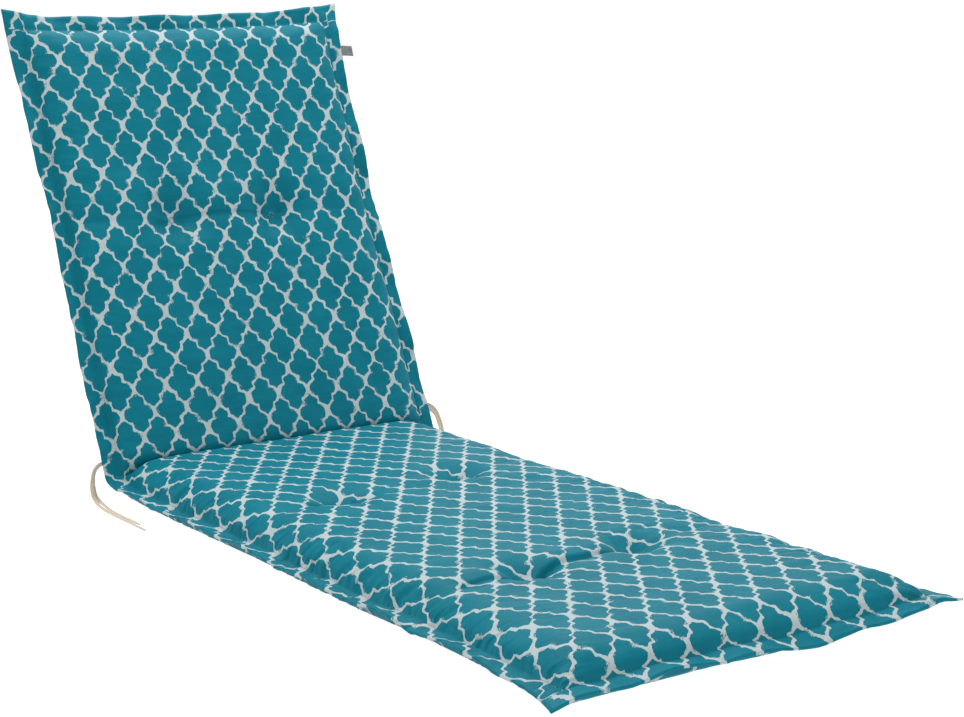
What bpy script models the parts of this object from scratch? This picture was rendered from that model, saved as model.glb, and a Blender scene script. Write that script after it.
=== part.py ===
"""Sun lounger cushion: a printed, tufted pad with a flat flange all round, bent where the back rises.

Metres, +Z up. X runs across the width and +Y towards the head. The origin is on the floor, under the
middle of the seat. The pad is worked out in cloth places: s across the width, t along the length from
the bend, below zero on the seat and leg part and above zero on the back.
"""

import math

import bmesh
import bpy
import numpy as np
from mathutils import Vector

# Outline between the corners, with the flange, at the middle of the thickness
WIDTH = 0.588
SEAT_LENGTH = 1.152
BACK_LENGTH = 0.748
THICKNESS = 0.060
FLANGE_WIDTH = 0.025
FLANGE_THICKNESS = 0.003

# The back leans this far from upright
RECLINE = math.radians(24.5)

# The corners stand out past the drawn-in sides and ends: (side, end, out across, out along)
CORNERS = (
    (-1, 1, 0.003, 0.016),
    (1, 1, 0.017, 0.017),
    (-1, -1, 0.017, 0.004),
    (1, -1, 0.007, 0.009),
)
CORNER_REACH_ALONG = 0.045
CORNER_REACH_ACROSS = 0.070

# Each row of tufts draws the sides in a little
WAIST = 0.004
WAIST_REACH = 0.12

# Distance over which each cloth rises from the seam to its full height
FRONT_ROUNDING = 0.048
REVERSE_SIDE_ROUNDING = 0.014
REVERSE_END_ROUNDING = 0.034
CROWN_SHARE = 0.05
CROWN_REACH = 0.12

# The bend: a deep tuck in the front cloth and a round heel in the reverse
BEND_RADIUS = 0.012
LIP_RADIUS = 0.018
TUCK_BOTTOM = 0.008
TUCK_GAP = 0.0016

# The pad's weight lowers the seam of the flat part: all of it at the sides, less at the foot
SIDE_DROOP = 0.007
DROOP_START = 0.050
FOOT_SEAM_SHARE = 0.4
BEND_DROOP_END = 0.012
BEND_DROOP_START = -0.035

# Along the foot the flange hangs unevenly, and one corner stands up: (s, droop)
FOOT_DROOPS = (
    (-0.294, 0.013),
    (-0.240, 0.004),
    (-0.060, 0.005),
    (0.030, 0.015),
    (0.110, 0.015),
    (0.170, 0.011),
    (0.220, 0.006),
    (0.294, 0.002),
)
FOOT_DROOP_REACH = 0.120
WAVE_START = 0.020
FLANGE_WAVE = 0.0030
FLANGE_WAVE_LENGTH = 0.170
FLANGE_WAVE_SLANT = 1.3

# Tufts drawn through the pad: (name, s, t)
TUFTS = (
    ("foot_left", -0.104, -0.827),
    ("foot_right", 0.073, -0.813),
    ("seat_left", -0.114, -0.389),
    ("seat_right", 0.094, -0.366),
    ("back_left", -0.096, 0.395),
    ("back_right", 0.085, 0.390),
)
TUFT_DEPTH = 0.66
TUFT_REACH = 0.085
TUFT_FLAT = 0.006
TUFT_SHARPNESS = 2.2
CHANNEL_DEPTH = 0.13
CHANNEL_REACH = 0.055

# Small clear rings that hold the tufts
RING_RADIUS = 0.0045
RING_WIRE = 0.0008
RING_LIFT = 0.0013

# Blank tab sewn behind the right flange, near the head
LABEL_WIDTH = 0.031
LABEL_HEIGHT = 0.018
LABEL_THICKNESS = 0.0012
LABEL_T = 0.673
LABEL_TUCKED = 0.005
LABEL_CLEARANCE = 0.0010

# Mesh density
COLUMN_STEP = 0.034
ROW_STEP = 0.050

# Grid lines that pass through the tufts before they are bent to their exact places
TUFT_COLUMNS = (-0.104, 0.084)
COLUMN_BEND_REACH = 0.080
ROW_BEND_REACH = 0.150

# Cotton tapes, two behind the flange at each end of the bend, along hand-set routes (x, y, z)
TAPE_WIDTH = 0.0060
TAPE_STEP = 0.014
TAPE_ROUTES = {
    "tie_left_inner": (
        (-0.281, 0.5984, 0.0510),
        (-0.293, 0.5986, 0.0498),
        (-0.3025, 0.5981, 0.0408),
        (-0.3060, 0.5965, 0.0252),
        (-0.3060, 0.5920, 0.0100),
        (-0.3062, 0.5770, 0.0036),
        (-0.3110, 0.5500, 0.0033),
        (-0.3162, 0.5120, 0.0033),
        (-0.3167, 0.4750, 0.0033),
        (-0.3160, 0.4400, 0.0033),
        (-0.3150, 0.4150, 0.0033),
    ),
    "tie_left_outer": (
        (-0.284, 0.5921, 0.0532),
        (-0.296, 0.5924, 0.0520),
        (-0.306, 0.5919, 0.0430),
        (-0.3105, 0.5905, 0.0270),
        (-0.3125, 0.5850, 0.0110),
        (-0.3140, 0.5690, 0.0036),
        (-0.3190, 0.5470, 0.0033),
        (-0.3230, 0.5120, 0.0033),
        (-0.3235, 0.4750, 0.0033),
        (-0.3228, 0.4400, 0.0033),
        (-0.3222, 0.4100, 0.0033),
        (-0.3220, 0.3810, 0.0033),
    ),
    "tie_right_inner": (
        (0.284, 0.5959, 0.0612),
        (0.298, 0.5965, 0.0602),
        (0.311, 0.5951, 0.0490),
        (0.3170, 0.5930, 0.0300),
        (0.3200, 0.5880, 0.0120),
        (0.3225, 0.5700, 0.0036),
        (0.3250, 0.5430, 0.0033),
        (0.3280, 0.5050, 0.0033),
        (0.3265, 0.4660, 0.0033),
        (0.3200, 0.4300, 0.0033),
    ),
    "tie_right_outer": (
        (0.284, 0.5996, 0.0676),
        (0.299, 0.6000, 0.0666),
        (0.314, 0.5996, 0.0550),
        (0.3235, 0.5990, 0.0330),
        (0.3270, 0.5950, 0.0130),
        (0.3295, 0.5750, 0.0036),
        (0.3320, 0.5440, 0.0033),
        (0.3348, 0.5050, 0.0033),
        (0.3335, 0.4640, 0.0033),
        (0.3300, 0.4200, 0.0033),
        (0.3310, 0.3960, 0.0033),
    ),
}

TEAL = (0.010, 0.205, 0.260, 1.0)
CREAM = (0.660, 0.560, 0.390, 1.0)
CLEAR = (0.620, 0.720, 0.720, 1.0)
GREY = (0.360, 0.380, 0.390, 1.0)

BEND = math.pi / 2 - RECLINE
HALF_BEND = BEND / 2
BEND_ARC = BEND_RADIUS * BEND
BEND_TANGENT = BEND_RADIUS * math.tan(HALF_BEND)
LIP_TURN = math.pi / 2 - HALF_BEND
LIP_TANGENT = LIP_RADIUS * math.tan(LIP_TURN / 2)
TUCK_MOUTH = THICKNESS / 2 / math.cos(HALF_BEND)
TUCK_RISE = TUCK_MOUTH - LIP_TANGENT - TUCK_BOTTOM
TUCK_PATH = TUCK_RISE + LIP_RADIUS * LIP_TURN
TUCK_END = THICKNESS / 2 * math.tan(HALF_BEND) + LIP_TANGENT - BEND_TANGENT + BEND_ARC / 2
ORIGIN_SHIFT = SEAT_LENGTH / 2


def tuft_row(left, right):
    """Where a row of two tufts crosses the centre line, and its slope across the pad."""
    (_, left_s, left_t), (_, right_s, right_t) = left, right
    slope = (right_t - left_t) / (right_s - left_s)
    return left_t - slope * left_s, slope


TUFT_ROWS = [tuft_row(left, right) for left, right in zip(TUFTS[::2], TUFTS[1::2])]


def smooth(value):
    """Soft step from 0 to 1."""
    value = np.clip(value, 0.0, 1.0)
    return value * value * (3.0 - 2.0 * value)


def rise(distance, reach):
    """Elliptical rise of a filled pad from its seam: 0 at the seam, 1 from reach inwards."""
    share = np.clip(distance / reach, 0.0, 1.0)
    return np.sqrt(1.0 - (1.0 - share) ** 2)


def middle_line(t):
    """Mid-thickness line for t at or below zero, as (y, z) from the corner of the bend."""
    turn = np.clip((t + BEND_ARC / 2) / BEND_ARC, 0.0, 0.5) * BEND
    flat = np.minimum(t + BEND_ARC / 2, 0.0)
    y = flat - BEND_TANGENT + BEND_RADIUS * np.sin(turn)
    z = BEND_RADIUS * (1.0 - np.cos(turn))
    return y, z, turn


def front_line(t):
    """Line of the front cloth for t at or below zero: flat, over a round lip and down into the tuck."""
    along = np.clip(-t / TUCK_END, 0.0, 1.0) * TUCK_PATH
    up = TUCK_BOTTOM + np.minimum(along, TUCK_RISE)
    turn = np.clip(along - TUCK_RISE, 0.0, None) / LIP_RADIUS
    gap = TUCK_GAP / 2 * np.minimum(1.0, along / TUCK_BOTTOM) * (1.0 - turn / LIP_TURN)
    ahead = LIP_RADIUS * np.sin(turn)
    aside = LIP_RADIUS * (1.0 - np.cos(turn)) + gap
    y = -(up + ahead) * math.sin(HALF_BEND) - aside * math.cos(HALF_BEND)
    z = (up + ahead) * math.cos(HALF_BEND) - aside * math.sin(HALF_BEND)
    return y + np.minimum(t + TUCK_END, 0.0), z


def mirrored(y, z, flip):
    """Reflects points of the seat side in the plane that halves the bend, where flip is true."""
    along = -y * math.sin(HALF_BEND) + z * math.cos(HALF_BEND)
    across = y * math.cos(HALF_BEND) + z * math.sin(HALF_BEND)
    across = np.where(flip, -across, across)
    return (
        across * math.cos(HALF_BEND) - along * math.sin(HALF_BEND),
        across * math.sin(HALF_BEND) + along * math.cos(HALF_BEND),
    )


def seam_distances(s, t):
    """Distance inside the side seams and inside the end seams, below zero on the flange."""
    across = WIDTH / 2 - FLANGE_WIDTH - np.abs(s)
    head = BACK_LENGTH - FLANGE_WIDTH - t
    foot = t + SEAT_LENGTH - FLANGE_WIDTH
    return across, np.minimum(head, foot)


def tuft_share(s, t, with_channel):
    """Share of the full height that the tufts leave, and the shallow channel that each row makes."""
    left = np.ones_like(s + t)
    for _, tuft_s, tuft_t in TUFTS:
        distance = np.clip(np.hypot(s - tuft_s, t - tuft_t) - TUFT_FLAT, 0.0, None)
        left = left - TUFT_DEPTH * np.clip(1.0 - distance / TUFT_REACH, 0.0, 1.0) ** TUFT_SHARPNESS
    if with_channel:
        for middle_t, slope in TUFT_ROWS:
            distance = np.abs(t - middle_t - slope * s)
            left = left - CHANNEL_DEPTH * np.clip(1.0 - distance / CHANNEL_REACH, 0.0, 1.0) ** 2
    return np.clip(left, 1.0 - TUFT_DEPTH, 1.0)


def flange_offset(s, t, across, along):
    """How far the seam and flange leave the mid-thickness surface, along its normal."""
    inside = np.minimum(across, along)
    places, droops = zip(*FOOT_DROOPS)
    foot_share = smooth(1.0 - (t + SEAT_LENGTH) / FOOT_DROOP_REACH)
    droop = SIDE_DROOP + (np.interp(s, places, droops) - SIDE_DROOP) * foot_share
    seam_share = 1.0 - (1.0 - FOOT_SEAM_SHARE) * foot_share
    at_seam = seam_share * smooth((DROOP_START - inside) / DROOP_START)
    on_flange = (1.0 - seam_share) * smooth(-inside / FLANGE_WIDTH)
    seat = smooth((BEND_DROOP_END - t) / (BEND_DROOP_END - BEND_DROOP_START))
    place_on_wave = t - LABEL_T + FLANGE_WAVE_SLANT * (s - WIDTH / 2)
    wave = FLANGE_WAVE * np.cos(place_on_wave * 2 * math.pi / FLANGE_WAVE_LENGTH)
    outward = smooth((WAVE_START - inside) / (WAVE_START + FLANGE_WIDTH))
    return outward * wave * smooth(np.abs(t) / 0.08) - (at_seam + on_flange) * droop * seat


def outline_shift(s, t):
    """How far the drawn-in rows and the standing corners move a point: across, and along the cloth."""
    across = np.zeros_like(s)
    along = np.zeros_like(s)
    for middle_t, slope in TUFT_ROWS:
        distance = t - middle_t - slope * s
        across = across - s / (WIDTH / 2) * WAIST * np.exp(-((distance / WAIST_REACH) ** 2))
    for side, end, out_across, out_along in CORNERS:
        to_end = np.where(end > 0, BACK_LENGTH - t, t + SEAT_LENGTH)
        to_side = WIDTH / 2 - side * s
        share = np.exp(-to_end / CORNER_REACH_ALONG - to_side / CORNER_REACH_ACROSS)
        across = across + side * out_across * share
        along = along + end * out_along * share
    return across, along


def place(s, t, side):
    """Points of the front cloth (side 1) or the reverse (side -1), as an array of x, y, z."""
    s, t = np.broadcast_arrays(np.asarray(s, float), np.asarray(t, float))
    across, along = seam_distances(s, t)
    side_reach = FRONT_ROUNDING if side > 0 else REVERSE_SIDE_ROUNDING
    end_reach = FRONT_ROUNDING if side > 0 else REVERSE_END_ROUNDING
    full = rise(across, side_reach) * rise(along, end_reach)
    if side > 0:
        inside = np.minimum(across, along)
        full = full * (1.0 - CROWN_SHARE * (1.0 - smooth(inside / CROWN_REACH)))
    full = full * tuft_share(s, t, side > 0)

    seat_t = -np.abs(t)
    mid_y, mid_z, turn = middle_line(seat_t)
    normal_y, normal_z = -np.sin(turn), np.cos(turn)
    if side > 0:
        skin_y, skin_z = front_line(seat_t)
    else:
        skin_y = mid_y - THICKNESS / 2 * normal_y
        skin_z = mid_z - THICKNESS / 2 * normal_z
    lift = side * FLANGE_THICKNESS / 2 * (1.0 - full) + flange_offset(s, t, across, along)
    if side < 0:
        lift = np.maximum(lift, -THICKNESS / 2 * (1.0 - full))
    y = mid_y + full * (skin_y - mid_y) + lift * normal_y
    z = mid_z + full * (skin_z - mid_z) + lift * normal_z
    y, z = mirrored(y, z, t > 0)

    out_across, out_along = outline_shift(s, t)
    y = y + out_along * np.where(t > 0, math.cos(BEND), 1.0)
    z = z + out_along * np.where(t > 0, math.sin(BEND), 0.0)
    return np.stack([s + out_across, y + ORIGIN_SHIFT, z + THICKNESS / 2], axis=-1)


def lines(anchors, step):
    """Grid places through every anchor, with the wide gaps between them split evenly."""
    anchors = sorted(anchors)
    found = [anchors[0]]
    for low, high in zip(anchors, anchors[1:]):
        parts = max(1, round((high - low) / step))
        found += [low + (high - low) * part / parts for part in range(1, parts + 1)]
    return found


def edge_anchors(edge, inward):
    """Grid places that follow the flange, the seam and the steep part of the crown."""
    return [edge + inward * (FLANGE_WIDTH + depth) for depth in (-FLANGE_WIDTH, 0, 0.008, 0.021, 0.042)]


def tuft_anchors(centre):
    return [centre + offset for offset in (-0.038, -0.019, -0.0065, 0, 0.0065, 0.019, 0.038)]


def grid_columns():
    anchors = edge_anchors(-WIDTH / 2, 1) + edge_anchors(WIDTH / 2, -1)
    for column in TUFT_COLUMNS:
        anchors += tuft_anchors(column)
    return lines(anchors, COLUMN_STEP)


def grid_rows():
    anchors = edge_anchors(-SEAT_LENGTH, 1) + edge_anchors(BACK_LENGTH, -1)
    for middle_t, _ in TUFT_ROWS:
        anchors += tuft_anchors(middle_t)
    for share in (0.07, 0.24, 0.45, 0.66, 0.84, 1.0, 1.9):
        anchors += [-share * TUCK_END, share * TUCK_END]
    return lines(anchors + [0.0, LABEL_T], ROW_STEP)


def through_tufts(s, t):
    """Bends the grid lines so that they cross at the tufts."""
    bent_s, bent_t = s, t
    row_places = [middle_t for middle_t, _ in TUFT_ROWS]
    for column, tufts in zip(TUFT_COLUMNS, (TUFTS[::2], TUFTS[1::2])):
        wanted = np.interp(t, row_places, [tuft_s for _, tuft_s, _ in tufts])
        bent_s = bent_s + (wanted - column) * smooth(1.0 - np.abs(s - column) / COLUMN_BEND_REACH)
    for middle_t, slope in TUFT_ROWS:
        bent_t = bent_t + slope * bent_s * smooth(1.0 - np.abs(t - middle_t) / ROW_BEND_REACH)
    return bent_s, bent_t


def finish(name, mesh, material, collection):
    """Turns a mesh into a named object of the part with its material."""
    thing = bpy.data.objects.new(name, mesh)
    thing.data.materials.append(material)
    collection.objects.link(thing)
    return thing


def principled(name, colour, roughness, sheen=0.0):
    material = bpy.data.materials.new(name)
    material.use_nodes = True
    shader = material.node_tree.nodes["Principled BSDF"]
    shader.inputs["Base Color"].default_value = colour
    shader.inputs["Roughness"].default_value = roughness
    shader.inputs["Metallic"].default_value = 0.0
    shader.inputs["Sheen Weight"].default_value = sheen
    material.diffuse_color = colour
    return material


def add_cloth(bm, columns, rows, side):
    """One cloth of the cushion, as a grid whose points are set on the pad's surface."""
    made = bmesh.ops.create_grid(
        bm, x_segments=len(columns) - 1, y_segments=len(rows) - 1, size=1.0
    )
    across = [round((vert.co.x + 1) / 2 * (len(columns) - 1)) for vert in made["verts"]]
    along = [round((vert.co.y + 1) / 2 * (len(rows) - 1)) for vert in made["verts"]]
    s, t = through_tufts(np.array(columns)[across], np.array(rows)[along])
    points = place(s, t, side)
    for vert, point in zip(made["verts"], points):
        vert.co = Vector(point)


def build_cushion(material, collection):
    columns, rows = grid_columns(), grid_rows()
    bm = bmesh.new()
    add_cloth(bm, columns, rows, 1)
    add_cloth(bm, columns, rows, -1)
    rim = [edge for edge in bm.edges if edge.is_boundary]
    bmesh.ops.bridge_loops(bm, edges=rim)
    bmesh.ops.recalc_face_normals(bm, faces=bm.faces)
    mesh = bpy.data.meshes.new("cushion")
    bm.to_mesh(mesh)
    bm.free()
    mesh.shade_smooth()
    mesh.set_sharp_from_angle(angle=math.radians(50))
    return finish("cushion", mesh, material, collection)


def build_ring(name, s, t, mesh, collection, material):
    """A flat clear ring lying in the bottom of a tuft."""
    ring = finish(name, mesh, material, collection)
    tilt = BEND if t > 0 else 0.0
    normal = Vector((0.0, -math.sin(tilt), math.cos(tilt)))
    ring.location = Vector(place(s, t, 1)) + RING_LIFT * normal
    ring.rotation_euler = (tilt, 0.0, 0.0)


def build_rings(material, collection):
    bpy.ops.mesh.primitive_torus_add(
        major_radius=RING_RADIUS, minor_radius=RING_WIRE, major_segments=12, minor_segments=5
    )
    model = bpy.context.object
    mesh = model.data
    mesh.shade_smooth()
    bpy.data.objects.remove(model)
    mesh.materials.clear()
    for name, s, t in TUFTS:
        build_ring("ring_" + name, s, t, mesh, collection, material)


def build_label(material, collection):
    """A small blank tab whose inner end lies behind the flange."""
    bm = bmesh.new()
    bmesh.ops.create_cube(bm, size=1.0)
    bmesh.ops.scale(bm, vec=(LABEL_WIDTH, LABEL_HEIGHT, LABEL_THICKNESS), verts=bm.verts)
    mesh = bpy.data.meshes.new("label")
    bm.to_mesh(mesh)
    bm.free()
    label = finish("label", mesh, material, collection)
    edge = Vector(place(WIDTH / 2, LABEL_T, -1))
    normal = Vector((0.0, -math.sin(BEND), math.cos(BEND)))
    across = Vector((LABEL_WIDTH / 2 - LABEL_TUCKED, 0.0, 0.0))
    label.location = edge + across - (LABEL_THICKNESS / 2 + LABEL_CLEARANCE) * normal
    label.rotation_euler = (BEND, 0.0, 0.0)


def smooth_path(route, step):
    """Points about a step apart on one smooth curve through the points of a route."""
    route = np.array(route)
    ends = np.concatenate([[2 * route[0] - route[1]], route, [2 * route[-1] - route[-2]]])
    share = np.linspace(0.0, 1.0, 24, endpoint=False)[:, None]
    fine = []
    for before, start, end, after in zip(ends, ends[1:], ends[2:], ends[3:]):
        linear = (end - before) / 2
        square = before - 2.5 * start + 2 * end - after / 2
        cube = (after - before) / 2 + 1.5 * (start - end)
        fine.append(start + linear * share + square * share**2 + cube * share**3)
    fine = np.concatenate(fine + [route[-1:]])
    run = np.concatenate([[0.0], np.cumsum(np.linalg.norm(np.diff(fine, axis=0), axis=1))])
    even = np.linspace(0.0, run[-1], round(run[-1] / step) + 1)
    return np.stack([np.interp(even, run, fine[:, axis]) for axis in range(3)], axis=-1)


def build_tape(name, route, material, collection):
    """A tape's plain solid: a tube as thick as the tape is wide."""
    points = smooth_path(route, TAPE_STEP)
    curve = bpy.data.curves.new(name, "CURVE")
    curve.dimensions = "3D"
    curve.bevel_depth = TAPE_WIDTH / 2
    curve.bevel_resolution = 2
    curve.use_fill_caps = True
    spline = curve.splines.new("POLY")
    spline.points.add(len(points) - 1)
    for knot, point in zip(spline.points, points):
        knot.co = (*point, 1.0)
    finish(name, curve, material, collection)


def main():
    for thing in list(bpy.data.objects):
        bpy.data.objects.remove(thing)
    collection = bpy.data.collections.new("sun_lounger_cushion")
    bpy.context.scene.collection.children.link(collection)
    build_cushion(principled("printed_cloth", TEAL, 0.85, 0.2), collection)
    build_rings(principled("clear_plastic", CLEAR, 0.30), collection)
    build_label(principled("label_cloth", GREY, 0.70), collection)
    cotton = principled("cotton_tape", CREAM, 0.90)
    for name, route in TAPE_ROUTES.items():
        build_tape(name, route, cotton, collection)


main()
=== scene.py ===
"""Looks of the sun lounger cushion: printed cloth with folds and stitching, tapes, rings and tab.

Metres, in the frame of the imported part: X across, +Y towards the head, +Z up. The cushion's surface is
worked out as in part.py from cloth places: s across, t along from the bend, seat below zero.
"""

import math

import bpy
import numpy as np
from mathutils import Matrix, Vector


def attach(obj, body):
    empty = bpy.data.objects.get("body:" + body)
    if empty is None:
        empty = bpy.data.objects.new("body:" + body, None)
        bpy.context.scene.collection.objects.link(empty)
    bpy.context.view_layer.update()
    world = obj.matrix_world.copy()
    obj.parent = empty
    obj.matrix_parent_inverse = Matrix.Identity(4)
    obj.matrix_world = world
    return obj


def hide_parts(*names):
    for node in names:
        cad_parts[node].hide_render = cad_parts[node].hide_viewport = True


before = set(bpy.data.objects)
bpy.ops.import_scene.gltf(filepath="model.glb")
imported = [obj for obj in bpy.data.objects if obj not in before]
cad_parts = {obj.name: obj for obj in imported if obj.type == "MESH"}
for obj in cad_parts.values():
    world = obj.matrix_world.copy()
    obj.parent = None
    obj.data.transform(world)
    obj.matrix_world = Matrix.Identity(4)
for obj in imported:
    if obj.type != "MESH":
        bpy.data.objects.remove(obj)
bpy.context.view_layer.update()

# Shape, as in part.py
WIDTH = 0.588
SEAT_LENGTH = 1.152
BACK_LENGTH = 0.748
THICKNESS = 0.060
FLANGE_WIDTH = 0.025
FLANGE_THICKNESS = 0.003
BEND = math.radians(65.5)
CORNERS = ((-1, 1, 0.003, 0.016), (1, 1, 0.017, 0.017), (-1, -1, 0.017, 0.004), (1, -1, 0.007, 0.009))
CORNER_REACH_ALONG = 0.045
CORNER_REACH_ACROSS = 0.070
WAIST = 0.004
WAIST_REACH = 0.12
FRONT_ROUNDING = 0.048
REVERSE_SIDE_ROUNDING = 0.014
REVERSE_END_ROUNDING = 0.034
CROWN_SHARE = 0.05
CROWN_REACH = 0.12
BEND_RADIUS = 0.012
LIP_RADIUS = 0.018
TUCK_BOTTOM = 0.008
TUCK_GAP = 0.0016
SIDE_DROOP = 0.007
DROOP_START = 0.050
FOOT_SEAM_SHARE = 0.4
BEND_DROOP_END = 0.012
BEND_DROOP_START = -0.035
FOOT_DROOPS = (
    (-0.294, 0.013),
    (-0.240, 0.004),
    (-0.060, 0.005),
    (0.030, 0.015),
    (0.110, 0.015),
    (0.170, 0.011),
    (0.220, 0.006),
    (0.294, 0.002),
)
FOOT_DROOP_REACH = 0.120
BEND_CALM = 0.08
WAVE_START = 0.020
FLANGE_WAVE = 0.0030
FLANGE_WAVE_LENGTH = 0.170
FLANGE_WAVE_SLANT = 1.3
RING_RADIUS = 0.0045
RING_HALF_WIDTH = 0.0008
RING_HALF_HEIGHT = 0.0006
RING_LIFT = 0.0008
LABEL_WIDTH = 0.031
LABEL_HEIGHT = 0.018
LABEL_THICKNESS = 0.0012
LABEL_T = 0.673
LABEL_TUCKED = 0.005
LABEL_CLEARANCE = 0.0010
LABEL_CURL = 0.0030
LABEL_WAVE = 0.0007
TUFTS = (
    ("foot_left", -0.104, -0.827),
    ("foot_right", 0.073, -0.813),
    ("seat_left", -0.114, -0.389),
    ("seat_right", 0.094, -0.366),
    ("back_left", -0.096, 0.395),
    ("back_right", 0.085, 0.390),
)
TUFT_DEPTH = 0.66
TUFT_REACH = 0.085
TUFT_FLAT = 0.006
TUFT_SHARPNESS = 2.2
CHANNEL_DEPTH = 0.13
CHANNEL_REACH = 0.055
TUFT_COLUMNS = (-0.104, 0.084)
COLUMN_BEND_REACH = 0.080
ROW_BEND_REACH = 0.150
TAPE_WIDTH = 0.0060
TAPE_ROUTES = {
    "tie_left_inner": (
        (-0.281, 0.5984, 0.0510), (-0.293, 0.5986, 0.0498), (-0.3025, 0.5981, 0.0408),
        (-0.3060, 0.5965, 0.0252), (-0.3060, 0.5920, 0.0100), (-0.3062, 0.5770, 0.0036),
        (-0.3110, 0.5500, 0.0033), (-0.3162, 0.5120, 0.0033), (-0.3167, 0.4750, 0.0033),
        (-0.3160, 0.4400, 0.0033), (-0.3150, 0.4150, 0.0033),
    ),
    "tie_left_outer": (
        (-0.284, 0.5921, 0.0532), (-0.296, 0.5924, 0.0520), (-0.306, 0.5919, 0.0430),
        (-0.3105, 0.5905, 0.0270), (-0.3125, 0.5850, 0.0110), (-0.3140, 0.5690, 0.0036),
        (-0.3190, 0.5470, 0.0033), (-0.3230, 0.5120, 0.0033), (-0.3235, 0.4750, 0.0033),
        (-0.3228, 0.4400, 0.0033), (-0.3222, 0.4100, 0.0033), (-0.3220, 0.3810, 0.0033),
    ),
    "tie_right_inner": (
        (0.284, 0.5959, 0.0612), (0.298, 0.5965, 0.0602), (0.311, 0.5951, 0.0490),
        (0.3170, 0.5930, 0.0300), (0.3200, 0.5880, 0.0120), (0.3225, 0.5700, 0.0036),
        (0.3250, 0.5430, 0.0033), (0.3280, 0.5050, 0.0033), (0.3265, 0.4660, 0.0033),
        (0.3200, 0.4300, 0.0033),
    ),
    "tie_right_outer": (
        (0.284, 0.5996, 0.0676), (0.299, 0.6000, 0.0666), (0.314, 0.5996, 0.0550),
        (0.3235, 0.5990, 0.0330), (0.3270, 0.5950, 0.0130), (0.3295, 0.5750, 0.0036),
        (0.3320, 0.5440, 0.0033), (0.3348, 0.5050, 0.0033), (0.3335, 0.4640, 0.0033),
        (0.3300, 0.4200, 0.0033), (0.3310, 0.3960, 0.0033),
    ),
}
TAPE_THICKNESS = 0.0008
TAPE_STEP = 0.004
TAPE_SINK = 0.0023
HALF_BEND = BEND / 2
BEND_ARC = BEND_RADIUS * BEND
BEND_TANGENT = BEND_RADIUS * math.tan(HALF_BEND)
LIP_TURN = math.pi / 2 - HALF_BEND
LIP_TANGENT = LIP_RADIUS * math.tan(LIP_TURN / 2)
TUCK_MOUTH = THICKNESS / 2 / math.cos(HALF_BEND)
TUCK_RISE = TUCK_MOUTH - LIP_TANGENT - TUCK_BOTTOM
TUCK_PATH = TUCK_RISE + LIP_RADIUS * LIP_TURN
TUCK_END = THICKNESS / 2 * math.tan(HALF_BEND) + LIP_TANGENT - BEND_TANGENT + BEND_ARC / 2
ORIGIN_SHIFT = SEAT_LENGTH / 2

# Fine mesh: spacing on the flange and crown, in the middle, along the cloth, in the tuck and at tuft rows
EDGE_STEP = 0.0042
MIDDLE_STEP = 0.0066
ALONG_STEP = 0.0031
TUCK_STEP = 0.0025
CREASE_STEP = 0.0018
EDGE_ZONE = 0.085
CREASE_ZONE = 0.018

# The cloth is at least this high over the floor
FLOOR_GAP = 0.0002

# Gathers at the seams: length and height of a ridge, middle of their band from the seam, its reach
SIDE_GATHERS_WIDE = (0.0125, 0.0034, 0.018, 0.034)
SIDE_GATHERS_SHORT = (0.0068, 0.0014, 0.006, 0.018)
END_GATHERS_WIDE = (0.0150, 0.0018, 0.016, 0.026)
END_GATHERS_SHORT = (0.0075, 0.0008, 0.003, 0.012)

# How much the reach of the wide ones changes along the sides, and how far off the other side's band is put
REACH_CHANGE = 0.018
FAR_AWAY = 9.0

# Waves of the flange: height, slant, length, seed. They are higher where the left edge turns over.
FLANGE_RIPPLES = ((0.0022, 0.8, 0.024, 71), (0.0012, -0.6, 0.011, 72))
TURNED_EDGE_T = -0.975
TURNED_EDGE_REACH = 0.110
TURNED_EDGE_MORE = 2.2
LEFT_BLEND = 0.05

# The seam sags along the left side of the seat
SEAM_SAG = 0.0045
SEAM_SAG_REACH = 0.050

# Groove of the seam, on the front and the reverse
GROOVE_SHIFT = 0.0005
GROOVE_WIDTH = 0.0030
FRONT_GROOVE = 0.0016
REVERSE_GROOVE = 0.0014

# Swells of the front cloth: height, slant, length across, length along, seed
SWELLS = ((0.0012, 0.35, 0.085, 0.040, 5), (0.0006, -0.6, 0.050, 0.016, 6))

# Tufts: height and reach of the folds round them, and depth and width of the hollow and the lip
STAR_HEIGHT = 0.0042
STAR_REACH = 0.060
HOLLOW_DEPTH = 0.0030
HOLLOW_REACH = 0.024
TUFT_LIP = 0.0030
TUFT_LIP_PLACE = 0.056
TUFT_LIP_WIDTH = 0.024

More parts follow.
